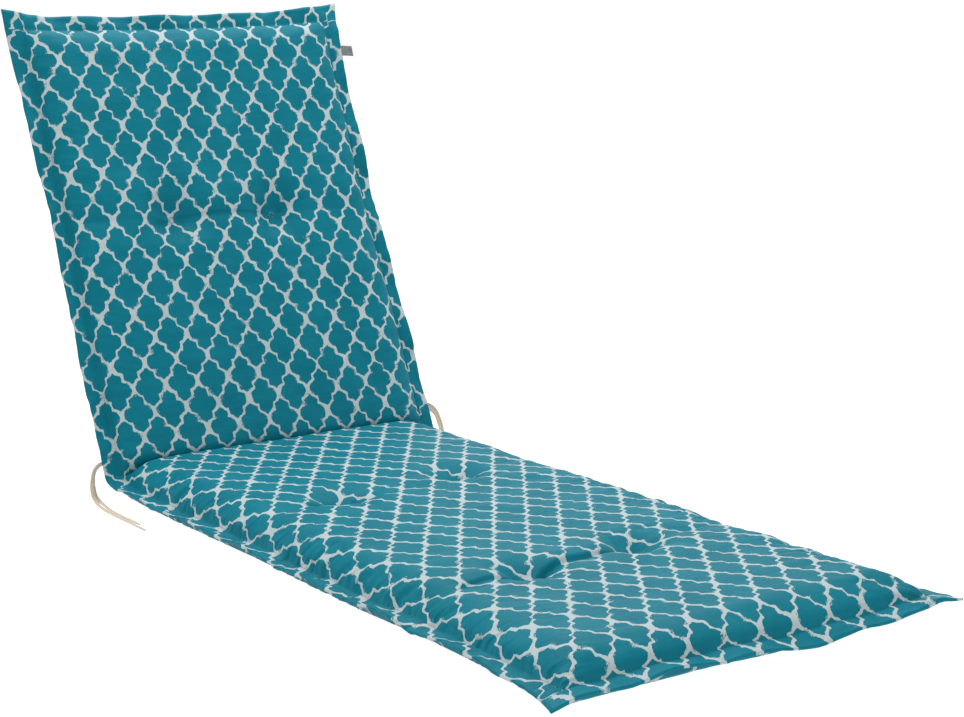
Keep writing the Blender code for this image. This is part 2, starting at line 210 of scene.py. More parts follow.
# Folds of the front cloth: start across and along, end across and along, depth, width of the steep side
FOLDS = (
    (-0.225, -0.8366, -0.110, -0.8275, 0.0046, 0.0036),
    (-0.100, -0.8267, 0.008, -0.8181, 0.0066, 0.0036),
    (-0.016, -0.8200, 0.070, -0.8132, 0.0058, 0.0036),
    (0.073, -0.8130, 0.130, -0.8085, 0.0024, 0.0040),
    (0.104, -0.7780, 0.156, -0.7650, 0.0030, 0.0055),
    (0.130, -0.7800, 0.190, -0.8160, 0.0020, 0.0055),
    (-0.208, -0.7440, -0.155, -0.7750, 0.0022, 0.0055),
    (-0.285, -0.7920, -0.205, -0.7680, 0.0032, 0.0055),
    (-0.288, -0.7560, -0.230, -0.7280, 0.0030, 0.0055),
    (-0.285, -0.8280, -0.235, -0.8020, 0.0030, 0.0055),
    (-0.285, -0.8940, -0.232, -0.8760, 0.0030, 0.0055),
    (-0.285, -0.9980, -0.232, -0.9760, 0.0028, 0.0055),
    (-0.290, -0.5480, -0.240, -0.5100, 0.0028, 0.0055),
    (-0.290, -0.6400, -0.232, -0.6100, 0.0026, 0.0055),
    (-0.185, -0.3969, -0.114, -0.3890, 0.0030, 0.0040),
    (-0.110, -0.3886, -0.030, -0.4200, 0.0028, 0.0045),
    (-0.045, -0.3960, 0.050, -0.4160, 0.0022, 0.0050),
    (0.045, -0.3714, 0.094, -0.3660, 0.0030, 0.0040),
    (0.094, -0.3670, 0.165, -0.3790, 0.0034, 0.0040),
    (0.100, -0.4080, 0.150, -0.4200, 0.0020, 0.0050),
    (0.140, -0.4560, 0.195, -0.4800, 0.0022, 0.0055),
    (-0.004, -0.5560, 0.050, -0.6260, 0.0018, 0.0055),
    (-0.098, 0.3951, 0.086, 0.3900, 0.0026, 0.0028),
)
FOLD_END = 0.022
FOLD_BOW = 0.0040
FOLD_SLOPE = 0.011
FOLD_LIP_SHARE = 0.35
FOLD_LIP_PLACE = 0.020
FOLD_LIP_WIDTH = 0.012

# Seam thread: grid lines from the edge to the seam, length of a stitch with its gap, size of the thread
SEAM_LINES = 6
STITCH_PITCH = 0.0036
STITCH_JITTER = 0.04
THREAD_HEIGHT = 0.00028
THREAD_WIDTH = 0.00030

# One stitch: place as a share of its pitch, share of its full size, height over the cloth
STITCH_SHAPE = np.array(
    (
        (-0.37, 0.35, -0.00030),
        (-0.22, 1.00, 0.00012),
        (0.22, 1.00, 0.00012),
        (0.37, 0.35, -0.00030),
    )
)

# The print: a trellis whose crossings lie on a diamond grid, repeat and place in cloth metres
REPEAT_ACROSS = 0.0534
REPEAT_ALONG = 0.0769
PRINT_START = (-0.0699, -0.5569)
HEAD_FLANGE_SHIFT = 0.019
REVERSE_PRINT_SHIFT = 0.031

# Edge of a diamond's rounded field in one quarter repeat, as shares of it: (along, across)
FIELD_EDGE = (
    (0.000, -0.100),
    (0.200, -0.100),
    (0.215, 0.000),
    (0.250, 0.070),
    (0.300, 0.150),
    (0.345, 0.260),
    (0.380, 0.340),
    (0.410, 0.400),
    (0.440, 0.425),
    (0.550, 0.430),
    (0.660, 0.430),
    (0.685, 0.460),
    (0.700, 0.540),
    (0.720, 0.620),
    (0.750, 0.680),
    (0.800, 0.750),
    (0.860, 0.800),
    (0.930, 0.830),
    (1.000, 0.840),
)
FIELD_LOWEST = 0.10

# Wobble and ragged edge of the print: scale, detail, reach in metres
PRINT_EDGES = ((95.0, 1.0, 0.0040), (420.0, 2.0, 0.0030))

# Slant of the dry brush strokes in the print
BRUSH_ANGLE = math.radians(38)

# Threads a metre, and where the tapes' tips grow darker, from the tip
CLOTH_THREADS = 1500.0
TAPE_THREADS = 2200.0
LABEL_THREADS = 2600.0
TAPE_TIP = (-0.012, -0.001)

TEAL = (0.0015, 0.156, 0.212, 1.0)
TEAL_DEEP = (0.0, 0.130, 0.180, 1.0)
TEAL_STREAK = (0.010, 0.200, 0.262, 1.0)
# Painted shade of the weave, laid on the raised threads by their height
WEAVE_PAINTED_SHADE = (0.0, 0.020, 0.030, 1.0)
PALE = (0.405, 0.470, 0.478, 1.0)
PALE_STREAK = (0.320, 0.410, 0.440, 1.0)
CREAM = (0.570, 0.485, 0.365, 1.0)
CREAM_DEEP = (0.520, 0.450, 0.340, 1.0)
TIP_GREY = (0.330, 0.320, 0.290, 1.0)
LABEL_GREY = (0.170, 0.185, 0.195, 1.0)
LABEL_DEEP = (0.120, 0.130, 0.140, 1.0)
CLEAR = (0.460, 0.720, 0.750, 1.0)
CLEAR_DEEP = (0.340, 0.620, 0.660, 1.0)
THREAD_TEAL = (0.020, 0.220, 0.270, 1.0)
THREAD_DEEP = (0.006, 0.120, 0.160, 1.0)
FLOOR_COLOUR = (0.250, 0.250, 0.250, 1.0)
FLOOR_LIGHT = (0.270, 0.270, 0.270, 1.0)
WHITE = (1.0, 1.0, 1.0, 1.0)

# The photograph's viewpoint
CAMERA_PLACE = (-1.5024, -2.2114, 0.7798)
CAMERA_TURN = (1.69674, -0.53339, 0.42476)
CAMERA_LENS = 76.10


def tuft_row(left, right):
    """Where a row of two tufts crosses the centre line, and its slope."""
    (_, left_s, left_t), (_, right_s, right_t) = left, right
    slope = (right_t - left_t) / (right_s - left_s)
    return left_t - slope * left_s, slope


TUFT_ROWS = [tuft_row(left, right) for left, right in zip(TUFTS[::2], TUFTS[1::2])]


def smooth(value):
    value = np.clip(value, 0.0, 1.0)
    return value * value * (3.0 - 2.0 * value)


def bell(distance, width):
    """One at no distance, falling off smoothly over a width."""
    return np.exp(-((distance / width) ** 2))


def rise(distance, reach):
    """Quarter circle from zero to one over a reach."""
    share = np.clip(distance / reach, 0.0, 1.0)
    return np.sqrt(1.0 - (1.0 - share) ** 2)


def middle_line(t):
    turn = np.clip((t + BEND_ARC / 2) / BEND_ARC, 0.0, 0.5) * BEND
    flat = np.minimum(t + BEND_ARC / 2, 0.0)
    y = flat - BEND_TANGENT + BEND_RADIUS * np.sin(turn)
    z = BEND_RADIUS * (1.0 - np.cos(turn))
    return y, z, turn


def front_line(t):
    along = np.clip(-t / TUCK_END, 0.0, 1.0) * TUCK_PATH
    up = TUCK_BOTTOM + np.minimum(along, TUCK_RISE)
    turn = np.clip(along - TUCK_RISE, 0.0, None) / LIP_RADIUS
    gap = TUCK_GAP / 2 * np.minimum(1.0, along / TUCK_BOTTOM) * (1.0 - turn / LIP_TURN)
    ahead = LIP_RADIUS * np.sin(turn)
    aside = LIP_RADIUS * (1.0 - np.cos(turn)) + gap
    y = -(up + ahead) * math.sin(HALF_BEND) - aside * math.cos(HALF_BEND)
    z = (up + ahead) * math.cos(HALF_BEND) - aside * math.sin(HALF_BEND)
    return y + np.minimum(t + TUCK_END, 0.0), z


def mirrored(y, z, flip):
    along = -y * math.sin(HALF_BEND) + z * math.cos(HALF_BEND)
    across = y * math.cos(HALF_BEND) + z * math.sin(HALF_BEND)
    across = np.where(flip, -across, across)
    return (
        across * math.cos(HALF_BEND) - along * math.sin(HALF_BEND),
        across * math.sin(HALF_BEND) + along * math.cos(HALF_BEND),
    )


def seam_distances(s, t):
    across = WIDTH / 2 - FLANGE_WIDTH - np.abs(s)
    head = BACK_LENGTH - FLANGE_WIDTH - t
    foot = t + SEAT_LENGTH - FLANGE_WIDTH
    return across, np.minimum(head, foot)


def tuft_share(s, t, with_channel):
    left = np.ones_like(s + t)
    for _, tuft_s, tuft_t in TUFTS:
        distance = np.clip(np.hypot(s - tuft_s, t - tuft_t) - TUFT_FLAT, 0.0, None)
        left = left - TUFT_DEPTH * np.clip(1.0 - distance / TUFT_REACH, 0.0, 1.0) ** TUFT_SHARPNESS
    if with_channel:
        for middle_t, slope in TUFT_ROWS:
            distance = np.abs(t - middle_t - slope * s)
            left = left - CHANNEL_DEPTH * np.clip(1.0 - distance / CHANNEL_REACH, 0.0, 1.0) ** 2
    return np.clip(left, 1.0 - TUFT_DEPTH, 1.0)


def flange_offset(s, t, across, along):
    """How far the seam and flange leave the mid-thickness surface, along its normal."""
    inside = np.minimum(across, along)
    places, droops = zip(*FOOT_DROOPS)
    foot_share = smooth(1.0 - (t + SEAT_LENGTH) / FOOT_DROOP_REACH)
    droop = SIDE_DROOP + (np.interp(s, places, droops) - SIDE_DROOP) * foot_share
    seam_share = 1.0 - (1.0 - FOOT_SEAM_SHARE) * foot_share
    at_seam = seam_share * smooth((DROOP_START - inside) / DROOP_START)
    on_flange = (1.0 - seam_share) * smooth(-inside / FLANGE_WIDTH)
    seat = smooth((BEND_DROOP_END - t) / (BEND_DROOP_END - BEND_DROOP_START))
    place_on_wave = t - LABEL_T + FLANGE_WAVE_SLANT * (s - WIDTH / 2)
    wave = FLANGE_WAVE * np.cos(place_on_wave * 2 * math.pi / FLANGE_WAVE_LENGTH)
    outward = smooth((WAVE_START - inside) / (WAVE_START + FLANGE_WIDTH))
    return outward * wave * smooth(np.abs(t) / BEND_CALM) - (at_seam + on_flange) * droop * seat


def outline_shift(s, t):
    across = np.zeros_like(s)
    along = np.zeros_like(s)
    for middle_t, slope in TUFT_ROWS:
        distance = t - middle_t - slope * s
        across = across - s / (WIDTH / 2) * WAIST * bell(distance, WAIST_REACH)
    for side, end, out_across, out_along in CORNERS:
        to_end = np.where(end > 0, BACK_LENGTH - t, t + SEAT_LENGTH)
        to_side = WIDTH / 2 - side * s
        share = np.exp(-to_end / CORNER_REACH_ALONG - to_side / CORNER_REACH_ACROSS)
        across = across + side * out_across * share
        along = along + end * out_along * share
    return across, along


def place(s, t, side):
    """Points of the front cloth (side 1) or the reverse (side -1), as an array of x, y, z."""
    s, t = np.broadcast_arrays(np.asarray(s, float), np.asarray(t, float))
    across, along = seam_distances(s, t)
    side_reach = FRONT_ROUNDING if side > 0 else REVERSE_SIDE_ROUNDING
    end_reach = FRONT_ROUNDING if side > 0 else REVERSE_END_ROUNDING
    full = rise(across, side_reach) * rise(along, end_reach)
    if side > 0:
        inside = np.minimum(across, along)
        full = full * (1.0 - CROWN_SHARE * (1.0 - smooth(inside / CROWN_REACH)))
    full = full * tuft_share(s, t, side > 0)

    seat_t = -np.abs(t)
    mid_y, mid_z, turn = middle_line(seat_t)
    normal_y, normal_z = -np.sin(turn), np.cos(turn)
    if side > 0:
        skin_y, skin_z = front_line(seat_t)
    else:
        skin_y = mid_y - THICKNESS / 2 * normal_y
        skin_z = mid_z - THICKNESS / 2 * normal_z
    lift = side * FLANGE_THICKNESS / 2 * (1.0 - full) + flange_offset(s, t, across, along)
    if side < 0:
        lift = np.maximum(lift, -THICKNESS / 2 * (1.0 - full))
    y = mid_y + full * (skin_y - mid_y) + lift * normal_y
    z = mid_z + full * (skin_z - mid_z) + lift * normal_z
    y, z = mirrored(y, z, t > 0)

    out_across, out_along = outline_shift(s, t)
    y = y + out_along * np.where(t > 0, math.cos(BEND), 1.0)
    z = z + out_along * np.where(t > 0, math.sin(BEND), 0.0)
    return np.stack([s + out_across, y + ORIGIN_SHIFT, z + THICKNESS / 2], axis=-1)


def through_tufts(s, t):
    bent_s, bent_t = s, t
    row_places = [middle_t for middle_t, _ in TUFT_ROWS]
    for column, tufts in zip(TUFT_COLUMNS, (TUFTS[::2], TUFTS[1::2])):
        wanted = np.interp(t, row_places, [tuft_s for _, tuft_s, _ in tufts])
        bent_s = bent_s + (wanted - column) * smooth(1.0 - np.abs(s - column) / COLUMN_BEND_REACH)
    for middle_t, slope in TUFT_ROWS:
        bent_t = bent_t + slope * bent_s * smooth(1.0 - np.abs(t - middle_t) / ROW_BEND_REACH)
    return bent_s, bent_t


def unit(vectors):
    return vectors / np.maximum(np.linalg.norm(vectors, axis=-1, keepdims=True), 1e-12)


def runs(points):
    """Length of a line of points up to each of them."""
    return np.concatenate([[0.0], np.cumsum(np.linalg.norm(np.diff(points, axis=0), axis=1))])


def along_line(places, run, line):
    """The line's values at places along its run."""
    return np.stack([np.interp(places, run, line[:, axis]) for axis in range(3)], axis=-1)


def smooth_path(route, step):
    """Points about a step apart on one smooth curve through the points of a route."""
    route = np.array(route)
    ends = np.concatenate([[2 * route[0] - route[1]], route, [2 * route[-1] - route[-2]]])
    share = np.linspace(0.0, 1.0, 24, endpoint=False)[:, None]
    fine = []
    for before, start, end, after in zip(ends, ends[1:], ends[2:], ends[3:]):
        linear = (end - before) / 2
        square = before - 2.5 * start + 2 * end - after / 2
        cube = (after - before) / 2 + 1.5 * (start - end)
        fine.append(start + linear * share + square * share**2 + cube * share**3)
    fine = np.concatenate(fine + [route[-1:]])
    run = runs(fine)
    return along_line(np.linspace(0.0, run[-1], round(run[-1] / step) + 1), run, fine)


def steps(low, high, step):
    """Even places from low up to but not including high, an even number of them."""
    count = 2 * max(1, round((high - low) / step / 2))
    return list(low + (high - low) * np.arange(count) / count)


def fine_columns():
    half = WIDTH / 2
    seam, inner = half - FLANGE_WIDTH, half - EDGE_ZONE
    marks = [-half, -seam, -inner, TUFT_COLUMNS[0], TUFT_COLUMNS[1], inner, seam, half]
    sizes = [EDGE_STEP, EDGE_STEP, MIDDLE_STEP, MIDDLE_STEP, MIDDLE_STEP, EDGE_STEP, EDGE_STEP]
    places = [steps(low, high, size) for low, high, size in zip(marks, marks[1:], sizes)]
    return np.array(sum(places, []) + [half])


def fine_rows():
    marks = [-SEAT_LENGTH, -SEAT_LENGTH + FLANGE_WIDTH, -TUCK_END, 0.0, TUCK_END, BACK_LENGTH - FLANGE_WIDTH]
    marks += [row + side * CREASE_ZONE for row, _ in TUFT_ROWS for side in (-1, 0, 1)]
    marks = sorted(marks) + [BACK_LENGTH]
    places = []
    for low, high in zip(marks, marks[1:]):
        middle = (low + high) / 2
        size = ALONG_STEP
        if abs(middle) < TUCK_END:
            size = TUCK_STEP
        elif min(abs(middle - row) for row, _ in TUFT_ROWS) < CREASE_ZONE:
            size = CREASE_STEP
        elif min(middle + SEAT_LENGTH, BACK_LENGTH - middle) < FLANGE_WIDTH:
            size = EDGE_STEP
        places += steps(low, high, size)
    return np.array(places + [BACK_LENGTH])


def noise_1d(x, length, seed):
    """Smooth seeded noise from -1 to 1 along x, with bumps about a length long."""
    table = np.random.default_rng(seed).uniform(-1.0, 1.0, 4096)
    x = np.asarray(x) / length + 2048.0
    low = np.floor(x).astype(int)
    share = smooth(x - low)
    return table[low % 4096] * (1.0 - share) + table[(low + 1) % 4096] * share


def noise_2d(x, y, length_x, length_y, seed):
    """Smooth seeded noise from -1 to 1 on a grid of the two lengths."""
    table = np.random.default_rng(seed).uniform(-1.0, 1.0, (256, 256))
    x, y = np.asarray(x) / length_x + 128.0, np.asarray(y) / length_y + 128.0
    low_x, low_y = np.floor(x).astype(int), np.floor(y).astype(int)
    share_x, share_y = smooth(x - low_x), smooth(y - low_y)
    found = 0.0
    for step_x, weight_x in ((0, 1.0 - share_x), (1, share_x)):
        for step_y, weight_y in ((0, 1.0 - share_y), (1, share_y)):
            found = found + weight_x * weight_y * table[(low_x + step_x) % 256, (low_y + step_y) % 256]
    return found


def gather_band(inside, along, shape, seed, more_reach=0.0):
    """Round ridges with sharp valleys between them, in a band at a distance from the seam."""
    length, height, middle, reach = shape
    ridges = 2.0 * np.sqrt(np.abs(noise_1d(along, length, seed))) - 1.15
    return ridges * height * bell(inside - middle, reach + more_reach)


def edge_puckers(s, t, across, along):
    """Gathers that run from the seams up onto the crown and out over the flange."""
    height = 0.0
    for side in (-1, 1):
        inside = across + np.where(side * s > 0, 0.0, FAR_AWAY)
        strength = (0.62 + 0.38 * noise_1d(t, 0.09, 11 + side)) * (1.0 - 0.6 * smooth(t / 0.1))
        more_reach = REACH_CHANGE * noise_1d(t, 0.045, 15 + side)
        wide = gather_band(inside, t + 0.35 * inside, SIDE_GATHERS_WIDE, 21 + side, more_reach)
        short = gather_band(inside, t + 0.2 * inside, SIDE_GATHERS_SHORT, 31 + side)
        height = height + (wide + short) * strength
    for end in (-1, 1):
        inside = along + np.where(end * t > 0, 0.0, FAR_AWAY)
        strength = 0.50 + 0.35 * noise_1d(s, 0.11, 41 + end)
        wide = gather_band(inside, s - 0.25 * inside, END_GATHERS_WIDE, 51 + end)
        short = gather_band(inside, s, END_GATHERS_SHORT, 61 + end)
        height = height + (wide + short) * strength
    return height


def flange_ripple(s, t, inside):
    """Waves that both cloths of the flange share, besides the long ones of the plain shape, and seam sag."""
    ripple = 0.0
    for height, slant, length, seed in FLANGE_RIPPLES:
        ripple = ripple + height * noise_1d(t + slant * s, length, seed)
    on_left = smooth(-s / LEFT_BLEND)
    turned = on_left * smooth(1.0 - np.abs(t - TURNED_EDGE_T) / TURNED_EDGE_REACH)
    outward = smooth(-inside / FLANGE_WIDTH)
    clear_of_label = smooth((np.abs(t - LABEL_T) - 0.012) / 0.030)
    clear_of_bend = smooth(np.abs(t) / BEND_CALM)
    ripple = ripple * (1.0 + TURNED_EDGE_MORE * turned) * outward * clear_of_bend * clear_of_label
    at_seam = smooth(1.0 + inside / FLANGE_WIDTH) * smooth(1.0 - inside / SEAM_SAG_REACH)
    left_side = on_left * smooth(-t / 0.10) * smooth((t + 0.85) / 0.15)
    return ripple - SEAM_SAG * at_seam * left_side * smooth(1.2 - np.abs(inside) / SEAM_SAG_REACH)


def tuft_folds(s, t):
    """Hollows of the tufts with folds that run out from them."""
    height = np.zeros_like(s)
    for number, (name, tuft_s, tuft_t) in enumerate(TUFTS):
        run = np.hypot(s - tuft_s, t - tuft_t)
        angle = np.arctan2(t - tuft_t, s - tuft_s)
        strong = 0.75 if "back" in name else 1.0
        phase = number * 1.7
        spokes = np.abs(np.sin(2.5 * angle + phase + 4.5 * run))
        spokes = spokes + 0.6 * np.abs(np.sin(4.0 * angle - 2 * phase))
        reach = smooth(run / 0.016) * np.exp(-((run / STAR_REACH) ** 1.6))
        height = height + strong * STAR_HEIGHT * (spokes - 1.0) * reach
        height = height - strong * HOLLOW_DEPTH * bell(run, HOLLOW_REACH)
        height = height + strong * TUFT_LIP * bell(run - TUFT_LIP_PLACE, TUFT_LIP_WIDTH)
    return height


def hand_folds(s, t):
    """The folds of the table: gentle on the foot's side, steep on the head's side, then a low lip."""
    height = np.zeros_like(s)
    for start_s, start_t, end_s, end_t, depth, steep in FOLDS:
        length = math.hypot(end_s - start_s, end_t - start_t)
        ahead_s, ahead_t = (end_s - start_s) / length, (end_t - start_t) / length
        run = (s - start_s) * ahead_s + (t - start_t) * ahead_t
        distance = (t - start_t) * ahead_s - (s - start_s) * ahead_t
        distance = distance - FOLD_BOW * np.sin(np.clip(run / length, 0.0, 1.0) * math.pi)
        window = smooth(run / FOLD_END) * smooth((length - run) / FOLD_END)
        near_side = np.exp(np.minimum(distance, 0.0) / FOLD_SLOPE)
        far_side = bell(np.maximum(distance, 0.0), steep)
        height = height - depth * window * np.where(distance < 0, near_side, far_side)
        lip = bell(distance - FOLD_LIP_PLACE, FOLD_LIP_WIDTH)
        height = height + FOLD_LIP_SHARE * depth * window * lip
    return height


def front_relief(s, t):
    """Height of the folds of the front cloth over its plain shape, along its normal."""
    across, along = seam_distances(s, t)
    inside = np.minimum(across, along)
    calm = smooth(inside / 0.030)
    height = edge_puckers(s, t, across, along)
    height = height + calm * tuft_folds(s, t) + smooth(inside / 0.012) * hand_folds(s, t)
    for swell, slant, length_s, length_t, seed in SWELLS:
        height = height + calm * swell * noise_2d(s + slant * t, t, length_s, length_t, seed)
    height = height - FRONT_GROOVE * bell(inside + GROOVE_SHIFT, GROOVE_WIDTH)
    return height * smooth(np.abs(t) / TUCK_END - 0.25)


def reverse_relief(s, t):
    """The same for the reverse, which lies flat on the floor under the seat."""
    across, along = seam_distances(s, t)
    inside = np.minimum(across, along)
    resting = np.where(t < 0, smooth(1.0 - inside / 0.030), 1.0)
    height = edge_puckers(s + 0.003, t + 0.011, across, along)
    height = height - REVERSE_GROOVE * bell(inside + GROOVE_SHIFT, GROOVE_WIDTH)
    height = height + smooth(inside / 0.03) * 0.0009 * noise_2d(s, t, 0.06, 0.03, 8)
    return height * resting * smooth(np.abs(t) / 0.02)


def grid_normals(points, side):
    return unit(np.cross(np.gradient(points, axis=0), np.gradient(points, axis=1)) * side)


def cloth_lengths():
    """Tables from cloth places to lengths along the cloth, over the crown and through the tuck."""
    s = np.linspace(-WIDTH / 2, WIDTH / 2, 2001)
    height = THICKNESS / 2 * rise(WIDTH / 2 - FLANGE_WIDTH - np.abs(s), FRONT_ROUNDING)
    u = np.concatenate([[0.0], np.cumsum(np.hypot(np.diff(s), np.diff(height)))])
    t = np.linspace(-SEAT_LENGTH, BACK_LENGTH, 6001)
    beyond = np.sign(t) * (np.abs(t) - TUCK_END + TUCK_PATH)
    run = np.where(np.abs(t) > TUCK_END, beyond, t / TUCK_END * TUCK_PATH)
    inside = np.minimum(BACK_LENGTH - FLANGE_WIDTH - t, t + SEAT_LENGTH - FLANGE_WIDTH)
    height = THICKNESS / 2 * rise(inside, FRONT_ROUNDING)
    v = np.concatenate([[0.0], np.cumsum(np.hypot(np.diff(run), np.diff(height)))])
    return s, u - np.interp(0.0, s, u), t, v - np.interp(0.0, t, v)


def cloth_points(s, t, side):
    """Points of one cloth with its folds."""
    points = place(s, t, side)
    relief = front_relief(s, t) if side > 0 else reverse_relief(s, t)
    relief = relief + side * flange_ripple(s, t, np.minimum(*seam_distances(s, t)))
    points = points + grid_normals(points, side) * relief[..., None]
    points[..., 2] = np.maximum(points[..., 2], FLOOR_GAP)
    return points


def cloth_uvs(s, t, lengths):
    table_s, table_u, table_t, table_v = lengths
    return np.stack([np.interp(s, table_s, table_u), np.interp(t, table_t, table_v)], axis=-1)


def grid_faces(index, side):
    """Faces of a grid of point numbers that look out from the front (side 1) or the reverse (side -1)."""
    corners = [index[:-1, :-1], index[1:, :-1], index[1:, 1:], index[:-1, 1:]]
    faces = np.stack(corners if side > 0 else corners[::-1], axis=-1)
    return faces.reshape(-1, 4).tolist()


def edge_loop(index):
    """Point numbers once round the edge of a grid."""
    return np.concatenate([index[:-1, 0], index[-1, :-1], index[:0:-1, -1], index[0, :0:-1]])


def rim_faces(upper, lower):
    """Faces of five corners between the edges of both cloths, as the front has twice the points."""
    faces = []
    for number, low in enumerate(lower):
        next_low = lower[(number + 1) % len(lower)]
        a, b, c = (upper[(2 * number + step) % len(upper)] for step in range(3))
        faces.append([int(a), int(low), int(next_low), int(c), int(b)])
    return faces


def make_pad():
    """The cushion: front cloth, reverse at half the density, and the rim that joins them."""
    s, t = through_tufts(*np.meshgrid(fine_columns(), fine_rows(), indexing="ij"))
    back_s, back_t = s[::2, ::2], t[::2, ::2]
    front, reverse = cloth_points(s, t, 1), cloth_points(back_s, back_t, -1)
    lengths = cloth_lengths()
    front_uv = cloth_uvs(s, t, lengths)
    reverse_uv = cloth_uvs(back_s, back_t, lengths) * (-1.0, 1.0) + (REVERSE_PRINT_SHIFT, 0.0)

    top = np.arange(s.size).reshape(s.shape)
    under = np.arange(back_s.size).reshape(back_s.shape) + top.size
    rim = rim_faces(edge_loop(top), edge_loop(under))
    faces = grid_faces(top, 1) + grid_faces(under, -1) + rim
    points = np.concatenate([front.reshape(-1, 3), reverse.reshape(-1, 3)])
    uvs = np.concatenate([front_uv.reshape(-1, 2), reverse_uv.reshape(-1, 2)])
    mesh, corners = bare_mesh("pad", points, faces)

    # The rim takes its print from the front's edge
    rim_corners = corners[-5 * len(rim) :].reshape(-1, 5)
    rim_corners[:, 1], rim_corners[:, 2] = rim_corners[:, 0], rim_corners[:, 3]
    corner_uvs = uvs[corners]

    # The print on the head's flange does not follow on from the print inside its seam
    wide, long = s.shape
    on_front = corner_uvs[: 4 * (wide - 1) * (long - 1)].reshape(wide - 1, long - 1, 4, 2)
    on_front[:, -SEAM_LINES:, :, 1] -= HEAD_FLANGE_SHIFT
    on_rim = corner_uvs[-rim_corners.size :]
    on_rim[rim_corners.ravel() % long == long - 1, 1] -= HEAD_FLANGE_SHIFT
    return add_piece("pad", finish_mesh(mesh, corner_uvs)), front, reverse


def add_piece(name, data):
    thing = bpy.data.objects.new(name, data)
    bpy.context.scene.collection.objects.link(thing)
    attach(thing, "root")
    return thing


def bare_mesh(name, points, faces):
    """A mesh, and the point number of each corner of its faces."""
    mesh = bpy.data.meshes.new(name)
    mesh.from_pydata(np.asarray(points).reshape(-1, 3).tolist(), [], faces)
    corners = np.empty(len(mesh.loops), dtype=np.int32)
    mesh.loops.foreach_get("vertex_index", corners)
    return mesh, corners


def finish_mesh(mesh, corner_uvs=None):
    """Smooth the mesh, with a place on the cloth for each corner if they are given."""
    if corner_uvs is not None:
        mesh.uv_layers.new(name="cloth").data.foreach_set("uv", corner_uvs.ravel())
    mesh.shade_smooth()
    mesh.validate()
    return mesh


def mesh_from(name, points, faces, uvs=None):
    """A smooth mesh from rows of points; uvs has one place on the cloth for each point."""
    mesh, corners = bare_mesh(name, points, faces)
    return finish_mesh(mesh, None if uvs is None else np.asarray(uvs).reshape(-1, 2)[corners])


def tube_faces(rings, size):
    """Faces of a closed tube of so many rings, each of size points, with both ends shut."""
    faces = []
    for ring in range(rings - 1):
        low, high = ring * size, (ring + 1) * size
        for point in range(size):
            after = (point + 1) % size
            faces.append([low + point, low + after, high + after, high + point])
    faces.append(list(range(size))[::-1])
    faces.append(list(range((rings - 1) * size, rings * size)))
    return faces


def make_tape(name, seed, material):
    """A flat cotton tape: it comes out from behind the flange, drops and lies on the floor."""
    points = smooth_path(TAPE_ROUTES[name], TAPE_STEP)
    points[:, 2] -= TAPE_SINK * smooth((0.014 - points[:, 2]) / 0.008)
    run = runs(points)
    ahead = unit(np.gradient(points, axis=0))
    standing = smooth((points[:, 2] - 0.004) / 0.020)[:, None]
    face = standing * np.array((0.0, -1.0, 0.0)) + (1.0 - standing) * np.array((0.0, 0.0, 1.0))
    wide = unit(np.cross(face, ahead))
    face = np.cross(ahead, wide)
    twist = (noise_1d(run, 0.030, seed) * (0.06 + 0.34 * standing[:, 0]))[:, None]
    wide, face = wide * np.cos(twist) + face * np.sin(twist), face * np.cos(twist) - wide * np.sin(twist)

    to_tip = run[-1] - run
    uneven = 1.0 + 0.05 * noise_1d(run, 0.02, seed + 7)
    half = TAPE_WIDTH / 2 * (0.30 + 0.70 * smooth(to_tip / 0.016)) * uneven
    thick = TAPE_THICKNESS / 2 * (1.0 + 0.5 * smooth(1.0 - to_tip / 0.012))
    size = 12
    angle = 2 * math.pi * np.arange(size) / size
    side, up = (np.sign(share) * np.abs(share) ** 0.55 for share in (np.cos(angle), np.sin(angle)))
    aside, over = half[:, None] * side, thick[:, None] * up
    rings = points[:, None] + wide[:, None] * aside[..., None] + face[:, None] * over[..., None]
    uvs = np.stack(np.broadcast_arrays(aside, -to_tip[:, None]), axis=-1)
    tape = add_piece("tape_" + name[4:], mesh_from(name, rings, tube_faces(len(points), size), uvs))
    tape.data.materials.append(material)
    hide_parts(name)


def make_ring(name, spot, normal, material):
    """A small clear ring lying on the cloth at the bottom of its tuft."""
    turn = np.array(Vector(normal).to_track_quat("Z", "Y").to_matrix())
    size, around = 10, 36
    angle = 2 * math.pi * np.arange(around)[:, None] / around
    small = 2 * math.pi * np.arange(size) / size
    reach = RING_RADIUS + RING_HALF_WIDTH * np.cos(small)
    height = 0 * angle + RING_HALF_HEIGHT * np.sin(small)
    flat = np.stack([reach * np.cos(angle), reach * np.sin(angle), height], axis=-1)
    points = flat @ turn.T + np.array(spot) + RING_LIFT * np.array(normal)
    faces = []
    for step in range(around):
        low, high = step * size, (step + 1) % around * size
        for point in range(size):
            after = (point + 1) % size
            faces.append([low + point, high + point, high + after, low + after])
    ring = add_piece("clear_" + name, mesh_from(name, points, faces))
    ring.data.materials.append(material)
    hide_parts("ring_" + name)


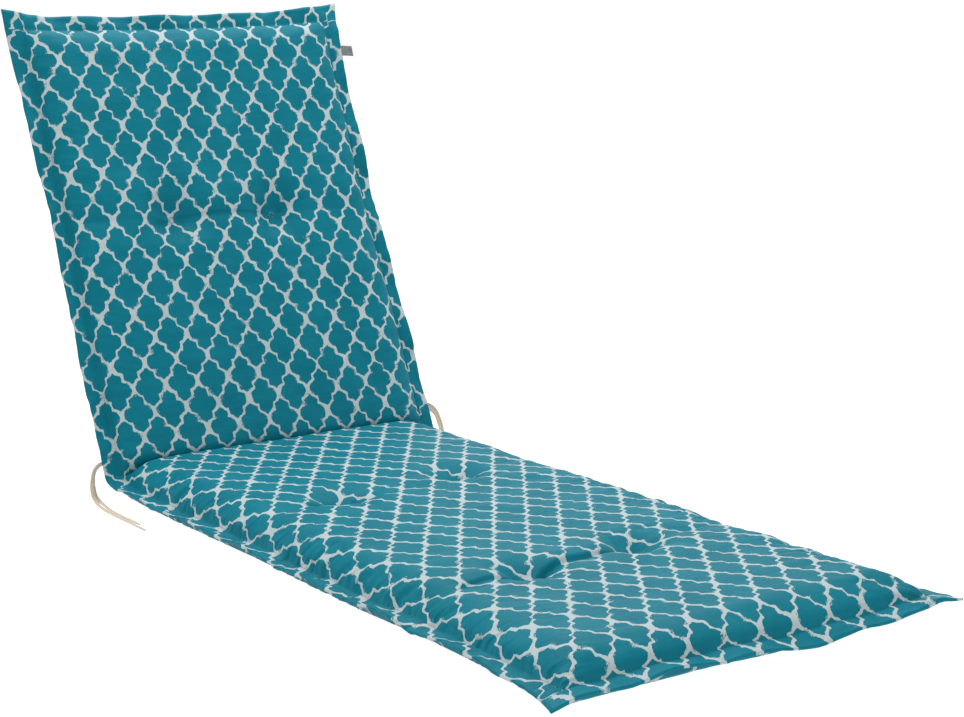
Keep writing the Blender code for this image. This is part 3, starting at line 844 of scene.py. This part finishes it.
def make_label(material):
    """A blank woven tab, folded over at its outer end, that curls back a little."""
    edge = place(WIDTH / 2, LABEL_T, -1)
    out = np.array((1.0, 0.0, 0.0))
    along = np.array((0.0, math.cos(BEND), math.sin(BEND)))
    normal = np.array((0.0, -math.sin(BEND), math.cos(BEND)))
    half, thick = LABEL_WIDTH / 2 - LABEL_THICKNESS / 2, LABEL_THICKNESS / 2
    middle = edge + out * (LABEL_WIDTH / 2 - LABEL_TUCKED) - normal * (thick + LABEL_CLEARANCE)
    turns = np.linspace(-math.pi / 2, math.pi / 2, 7)
    straight = np.linspace(-1.0, 1.0, 12)[:-1]
    profile_x = np.concatenate([half * straight, half + thick * np.cos(turns), half * straight[::-1]])
    profile_n = np.concatenate([-thick + 0 * straight, thick * np.sin(turns), thick + 0 * straight])
    heights = np.linspace(-1.0, 1.0, 13) * LABEL_HEIGHT / 2
    x, h = np.meshgrid(profile_x, heights)
    outward = smooth((x + half) / (2 * half))
    lift = -LABEL_CURL * outward**2 + LABEL_WAVE * np.sin(h * 300.0) * outward
    n = profile_n * (0.85 + 0.15 * np.cos(h / LABEL_HEIGHT * math.pi)) + lift
    points = middle + x[..., None] * out + h[..., None] * along + n[..., None] * normal
    round_length = runs(np.stack([profile_x, profile_n], axis=-1))
    uvs = np.stack(np.meshgrid(round_length, heights), axis=-1)
    label = add_piece("tab", mesh_from("tab", points, tube_faces(*x.shape), uvs))
    label.data.materials.append(material)
    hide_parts("label")


def stitch_row(line, normals, seed):
    """Short thread stitches along a line of points, each sunk at its ends, as points and faces."""
    run = runs(line)
    count = int(run[-1] / STITCH_PITCH)
    starts = (np.arange(count) + 0.5) * run[-1] / count
    jitter = np.random.default_rng(seed).uniform(-STITCH_JITTER, STITCH_JITTER, count) * STITCH_PITCH
    points, faces = [], []
    for start in starts + jitter:
        at = along_line(start + STITCH_SHAPE[:, 0] * STITCH_PITCH, run, line)
        up = unit(along_line(start, run, normals))
        aside = unit(np.cross(at[-1] - at[0], up))
        low = len(points)
        for centre, (_, size, sink) in zip(at, STITCH_SHAPE):
            for side, over in ((1, 0), (0, 1), (-1, 0), (0, -1)):
                high = up * (sink + THREAD_HEIGHT * size * over)
                points.append(centre + high + aside * THREAD_WIDTH * size * side)
        faces += [[low + index for index in face] for face in tube_faces(len(at), 4)]
    return points, faces


def make_stitches(front, reverse, material):
    """The thread of the seam between the pad and its flange, on both faces."""
    points, faces = [], []
    for number, (grid, side, at) in enumerate(((front, 1, SEAM_LINES), (reverse, -1, SEAM_LINES // 2))):
        normals = grid_normals(grid, side)
        between = slice(at, -at)
        for key in ((at, between), (-at - 1, between), (between, at), (between, -at - 1)):
            more, more_faces = stitch_row(grid[key], normals[key], 90 + number)
            faces += [[len(points) + index for index in face] for face in more_faces]
            points += more
    thread = add_piece("seam_thread", mesh_from("seam_thread", points, faces))
    thread.data.materials.append(material)


class Shader:
    """Short way to build a material's nodes."""

    def __init__(self, name):
        self.material = bpy.data.materials.new(name)
        self.material.use_nodes = True
        self.tree = self.material.node_tree
        self.surface = self.tree.nodes["Principled BSDF"]

    def add(self, kind, **settings):
        node = self.tree.nodes.new(kind)
        for key, value in settings.items():
            setattr(node, key, value)
        return node

    def join(self, value, socket):
        if isinstance(value, bpy.types.NodeSocket):
            self.tree.links.new(value, socket)
        else:
            socket.default_value = value

    def math(self, operation, *values, clamp=False):
        node = self.add("ShaderNodeMath", operation=operation, use_clamp=clamp)
        for value, socket in zip(values, node.inputs):
            self.join(value, socket)
        return node.outputs[0]

    def vector(self, operation, *values):
        node = self.add("ShaderNodeVectorMath", operation=operation)
        for value, socket in zip(values, node.inputs):
            self.join(value, socket)
        return node.outputs[0]

    def combine(self, x=0.0, y=0.0, z=0.0):
        node = self.add("ShaderNodeCombineXYZ")
        for value, socket in zip((x, y, z), node.inputs):
            self.join(value, socket)
        return node.outputs[0]

    def separate(self, vector):
        node = self.add("ShaderNodeSeparateXYZ")
        self.join(vector, node.inputs[0])
        return node.outputs

    def coat(self, settings):
        """Values or links for the surface's sockets, by their names."""
        for name, value in settings.items():
            self.join(value, self.surface.inputs[name])
        return self.material

    def noise(self, vector, scale, detail=2.0, roughness=0.5, output="Fac"):
        node = self.add("ShaderNodeTexNoise")
        values = {"Vector": vector, "Scale": scale, "Detail": detail, "Roughness": roughness}
        for name, value in values.items():
            self.join(value, node.inputs[name])
        return node.outputs[output]

    def step(self, value, low, high):
        node = self.add("ShaderNodeMapRange", interpolation_type="SMOOTHSTEP")
        self.join(value, node.inputs["Value"])
        node.inputs["From Min"].default_value = low
        node.inputs["From Max"].default_value = high
        return node.outputs[0]

    def mix(self, share, first, second):
        node = self.add("ShaderNodeMix", data_type="RGBA")
        for value, socket in ((share, node.inputs[0]), (first, node.inputs[6]), (second, node.inputs[7])):
            self.join(value, socket)
        return node.outputs[2]

    def curve(self, value, points):
        node = self.add("ShaderNodeFloatCurve")
        self.join(value, node.inputs["Value"])
        line = node.mapping.curves[0]
        while len(line.points) < len(points):
            line.points.new(0.5, 0.5)
        for knot, (x, y) in zip(line.points, points):
            knot.location = (x, y)
            knot.handle_type = "VECTOR"
        node.mapping.update()
        return node.outputs[0]

    def bump(self, height, distance, strength, under=None):
        node = self.add("ShaderNodeBump")
        node.inputs["Strength"].default_value = strength
        node.inputs["Distance"].default_value = distance
        self.join(height, node.inputs["Height"])
        if under is not None:
            self.join(under, node.inputs["Normal"])
        return node.outputs[0]


def weave_height(shader, cloth, threads):
    """Height of a plain weave with so many threads a metre, 0 to 1.5."""
    scaled = shader.vector("SCALE", cloth)
    scaled.node.inputs["Scale"].default_value = threads * math.pi
    x, y, _ = shader.separate(scaled)
    warp, weft = (shader.math("ABSOLUTE", shader.math("SINE", way)) for way in (x, y))
    over, under = (shader.math("SINE", shader.math("MULTIPLY", way, 0.5)) for way in (x, y))
    turn = shader.math("MULTIPLY_ADD", shader.math("MULTIPLY", over, under), 0.5, 0.5)
    return shader.math("ADD", shader.math("MULTIPLY", warp, turn), shader.math("MULTIPLY", weft, 0.5))


def field_edge(shader, along):
    """The chart's edge; the curve node holds no value below zero, so it is kept raised and lowered here."""
    raised = [(x, (y + FIELD_LOWEST) / (1.0 + FIELD_LOWEST)) for x, y in FIELD_EDGE]
    return shader.math("MULTIPLY_ADD", shader.curve(along, raised), 1.0 + FIELD_LOWEST, -FIELD_LOWEST)


def printed_share(shader, cloth):
    """One on the pale lines between the rounded, notched fields, with worn, hand-cut edges."""
    moved = cloth
    for scale, detail, reach in PRINT_EDGES:
        push = shader.noise(cloth, scale, detail, output="Color")
        push = shader.vector("SUBTRACT", push, (0.5, 0.5, 0.5))
        moved = shader.vector("MULTIPLY_ADD", push, (reach, reach, 0.0), moved)
    placed = shader.vector("SUBTRACT", moved, (*PRINT_START, 0.0))
    scaled = shader.vector("MULTIPLY", placed, (2 / REPEAT_ACROSS, 2 / REPEAT_ALONG, 0.0))
    x, y, _ = shader.separate(scaled)
    x, y = shader.math("PINGPONG", x, 1.0), shader.math("PINGPONG", y, 1.0)
    low_edge = field_edge(shader, y)
    high_edge = shader.math("SUBTRACT", 1.0, field_edge(shader, shader.math("SUBTRACT", 1.0, y)))
    past_low, before_high = shader.math("SUBTRACT", x, low_edge), shader.math("SUBTRACT", high_edge, x)
    inside = shader.math("MINIMUM", past_low, before_high)
    uneven = shader.math("SUBTRACT", shader.noise(cloth, 26.0, 1.0), 0.5)
    inside = shader.math("MULTIPLY_ADD", uneven, 0.26, inside)

    slanted = shader.add("ShaderNodeVectorRotate", rotation_type="Z_AXIS")
    shader.join(cloth, slanted.inputs["Vector"])
    slanted.inputs["Angle"].default_value = BRUSH_ANGLE
    brushed = shader.vector("MULTIPLY", slanted.outputs[0], (1500.0, 170.0, 0.0))
    strokes = shader.math("SUBTRACT", shader.noise(brushed, 1.0, 1.0), 0.5)
    patches = shader.step(shader.noise(cloth, 62.0, 1.0), 0.55, 0.66)
    inside = shader.math("MULTIPLY_ADD", shader.math("MULTIPLY", strokes, patches), 0.85, inside)
    return shader.step(inside, 0.002, 0.024)


def cloth_colour(shader, cloth, printed, weave):
    """Teal and pale, each a little uneven, with painted weave shade that darkens the raised threads a
    little.
    """
    cloudy = shader.noise(cloth, 14.0, 3.0)
    streaks = shader.noise(shader.vector("MULTIPLY", cloth, (900.0, 60.0, 0.0)), 1.0, 2.0)
    ground = shader.mix(shader.step(cloudy, 0.25, 0.75), TEAL_DEEP, TEAL)
    ground = shader.mix(shader.math("MULTIPLY", streaks, 0.16), ground, TEAL_STREAK)
    pale = shader.mix(shader.math("MULTIPLY", streaks, 0.35), PALE, PALE_STREAK)
    # Painted weave shade: the raised threads are darkened by the weave's height
    raised = shader.math("MULTIPLY_ADD", weave, 0.10, -0.05, clamp=True)
    return shader.mix(raised, shader.mix(printed, ground, pale), WEAVE_PAINTED_SHADE)


def cloth_normal(shader, cloth, weave):
    """Fine pleats in patches near the seat's side seams, small crumples and the weave."""
    across, along, _ = shader.separate(cloth)
    near_seam = shader.step(shader.math("ABSOLUTE", across), 0.120, 0.290)
    on_seat = shader.step(along, 0.0, -0.10)
    patches = shader.step(shader.noise(cloth, 11.0, 1.0), 0.36, 0.58)
    gathered = shader.math("MULTIPLY", shader.math("MULTIPLY", near_seam, on_seat), patches)
    crosswise = shader.math("MULTIPLY", across, 12.0)
    lengthwise = shader.math("MULTIPLY_ADD", across, 24.0, shader.math("MULTIPLY", along, 82.0))
    pleats = shader.noise(shader.combine(crosswise, lengthwise), 1.0, 0.6, 0.4)
    crumple = shader.noise(cloth, 48.0, 3.0, 0.55)
    folds = shader.noise(shader.vector("MULTIPLY", cloth, (34.0, 105.0, 0.0)), 1.0, 2.0, 0.5)
    normal = shader.bump(shader.math("MULTIPLY", pleats, gathered), 0.0085, 0.9)
    normal = shader.bump(crumple, 0.0016, 0.55, normal)
    normal = shader.bump(folds, 0.0014, 0.45, normal)
    return shader.bump(weave, 0.00012, 0.6, normal)


def cloth_material():
    """Teal cloth printed with a pale trellis."""
    shader = Shader("printed_cloth")
    cloth = shader.add("ShaderNodeUVMap", uv_map="cloth").outputs[0]
    printed = printed_share(shader, cloth)
    weave = weave_height(shader, cloth, CLOTH_THREADS)
    return shader.coat(
        {
            "Base Color": cloth_colour(shader, cloth, printed, weave),
            "Roughness": shader.math("MULTIPLY_ADD", printed, 0.08, 0.49),
            "Specular IOR Level": 0.065,
            "Sheen Weight": 0.01,
            "Sheen Roughness": 0.30,
            "Normal": cloth_normal(shader, cloth, weave),
        }
    )


def plain_cloth(name, colour, dark, threads, tips=None):
    """Woven tape or tab: threads, slightly uneven colour, darker tips where they are asked for."""
    shader = Shader(name)
    cloth = shader.add("ShaderNodeUVMap", uv_map="cloth").outputs[0]
    uneven = shader.step(shader.noise(cloth, 160.0, 3.0), 0.25, 0.75)
    tint = shader.mix(uneven, dark, colour)
    if tips is not None:
        at_tip = shader.step(shader.separate(cloth)[1], *tips)
        tint = shader.mix(at_tip, tint, TIP_GREY)
    normal = shader.bump(weave_height(shader, cloth, threads), 0.00025, 0.7)
    return shader.coat({"Base Color": tint, "Roughness": 0.85, "Sheen Weight": 0.15, "Normal": normal})


def clear_material():
    shader = Shader("clear_plastic")
    cloudy = shader.noise(shader.add("ShaderNodeTexCoord").outputs["Object"], 700.0)
    return shader.coat(
        {
            "Base Color": shader.mix(cloudy, CLEAR_DEEP, CLEAR),
            "Roughness": shader.math("MULTIPLY_ADD", cloudy, 0.10, 0.10),
            "Transmission Weight": 0.94,
            "IOR": 1.47,
        }
    )


def thread_material():
    """Sewing thread in the colour of the cloth."""
    shader = Shader("seam_thread")
    cloudy = shader.noise(shader.add("ShaderNodeTexCoord").outputs["Object"], 900.0)
    tint = shader.mix(cloudy, THREAD_DEEP, THREAD_TEAL)
    return shader.coat({"Base Color": tint, "Roughness": 0.55, "Normal": shader.bump(cloudy, 0.0002, 0.5)})


def floor_material():
    """A light studio floor that is bright enough to vanish into the background."""
    shader = Shader("studio_floor")
    speckle = shader.noise(shader.add("ShaderNodeTexCoord").outputs["Object"], 3.0)
    return shader.coat(
        {
            "Base Color": shader.mix(speckle, FLOOR_COLOUR, FLOOR_LIGHT),
            "Roughness": 0.9,
            "Specular IOR Level": 0.1,
            "Emission Color": WHITE,
            "Emission Strength": 0.95,
        }
    )


def make_camera():
    """The camera is first turned as in the photograph's fit, in which y is down and z ahead."""
    angle = Vector(CAMERA_TURN).length
    turn = Matrix.Rotation(angle, 3, Vector(CAMERA_TURN))
    to_blender = Matrix(((1, 0, 0), (0, -1, 0), (0, 0, -1)))
    data = bpy.data.cameras.new("camera")
    data.lens = CAMERA_LENS
    data.sensor_width = 36.0
    data.clip_start, data.clip_end = 0.05, 60.0
    camera = bpy.data.objects.new("camera", data)
    camera.matrix_world = Matrix.Translation(CAMERA_PLACE) @ (to_blender @ turn).transposed().to_4x4()
    bpy.context.scene.collection.objects.link(camera)
    bpy.context.scene.camera = camera


def make_light(name, spot, aim, size, energy, colour):
    data = bpy.data.lights.new(name, "AREA")
    data.shape = "RECTANGLE"
    data.size, data.size_y = size
    data.energy = energy
    data.color = colour
    light = bpy.data.objects.new(name, data)
    light.location = spot
    light.rotation_euler = (Vector(aim) - Vector(spot)).to_track_quat("-Z", "Y").to_euler()
    bpy.context.scene.collection.objects.link(light)


def make_studio():
    scene = bpy.context.scene
    scene.view_settings.view_transform = "Standard"
    scene.view_settings.look = "None"
    world = bpy.data.worlds.new("studio")
    world.use_nodes = True
    background = world.node_tree.nodes["Background"]
    background.inputs["Color"].default_value = WHITE
    background.inputs["Strength"].default_value = 1.0
    scene.world = world
    bpy.ops.mesh.primitive_plane_add(size=24.0, location=(0.0, 2.0, 0.0))
    floor = bpy.context.object
    floor.name = "floor"
    floor.data.materials.append(floor_material())
    make_light(
        "overhead",
        spot=(0.4, 1.3, 3.0),
        aim=(0.0, 0.1, 0.1),
        size=(2.2, 2.2),
        energy=80.0,
        colour=(1.0, 0.99, 0.97),
    )


def main():
    make_camera()
    cotton = plain_cloth("cotton_tape", CREAM, CREAM_DEEP, TAPE_THREADS, TAPE_TIP)
    for number, name in enumerate(TAPE_ROUTES):
        make_tape(name, 70 + number, cotton)
    make_studio()
    cloth = cloth_material()
    pad, front, reverse = make_pad()
    pad.data.materials.append(cloth)
    clear = clear_material()
    normals = grid_normals(front, 1)
    for name, tuft_s, tuft_t in TUFTS:
        away = np.linalg.norm(front - place(tuft_s, tuft_t, 1), axis=-1)
        nearest = np.unravel_index(np.argmin(away), away.shape)
        make_ring(name, front[nearest], normals[nearest], clear)
    make_label(plain_cloth("label_cloth", LABEL_GREY, LABEL_DEEP, LABEL_THREADS))
    make_stitches(front, reverse, thread_material())
    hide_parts("cushion")


main()
